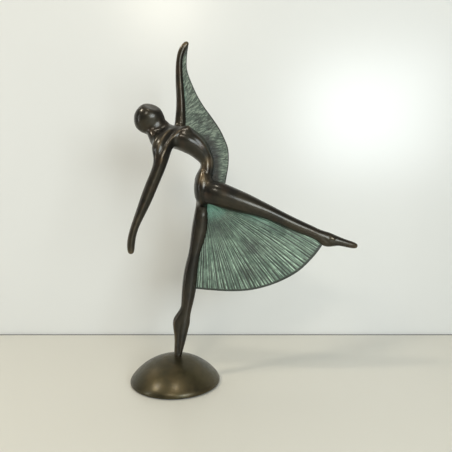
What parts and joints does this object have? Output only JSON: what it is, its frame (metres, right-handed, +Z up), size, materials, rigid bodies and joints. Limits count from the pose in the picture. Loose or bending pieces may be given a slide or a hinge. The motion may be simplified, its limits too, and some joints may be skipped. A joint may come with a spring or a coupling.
{
  "type": "statuette",
  "caption": "Bronze statuette of a faceless dancer arching back on one toe, an arm and a wing of drapery raised, the other leg stretched over a ribbed fan skirt, on a domed round base.",
  "frame": {"origin": "middle of the underside of the base, on the surface it stands on", "axes": "+Z up, the object's height; +X towards the raised leg; Y across the figure, its thinnest way"},
  "size_m": [0.3011, 0.12, 0.4509],
  "materials": {
    "bronze": "dark brown patina, waxed and rubbed brighter on high points",
    "base_bronze": "olive brown patina, satin wax",
    "skirt_verdigris": "verdigris on hand-tooled ridges, dark grooves and rim",
    "wing_patina": "grey-green patina over fine scratches, dark rim",
    "felt": "dark green felt",
    "steel": "zinc plated"
  },
  "bodies": {
    "root": {"base_dome": "base_bronze", "felt_disc": "felt", "base_stud": "steel", "plain_washer": "steel", "spring_washer": "steel", "hex_nut": "steel", "standing_leg": "bronze", "raised_leg": "bronze", "torso": "bronze", "head": "bronze", "lowered_arm": "bronze", "raised_arm": "bronze", "skirt_fan": "skirt_verdigris", "wing_fan": "wing_patina", "neck_dowel": "steel", "arm_dowels": "steel", "leg_dowels": "steel", "skirt_pins": "steel", "wing_pins": "steel"}
  },
  "joints": []
}
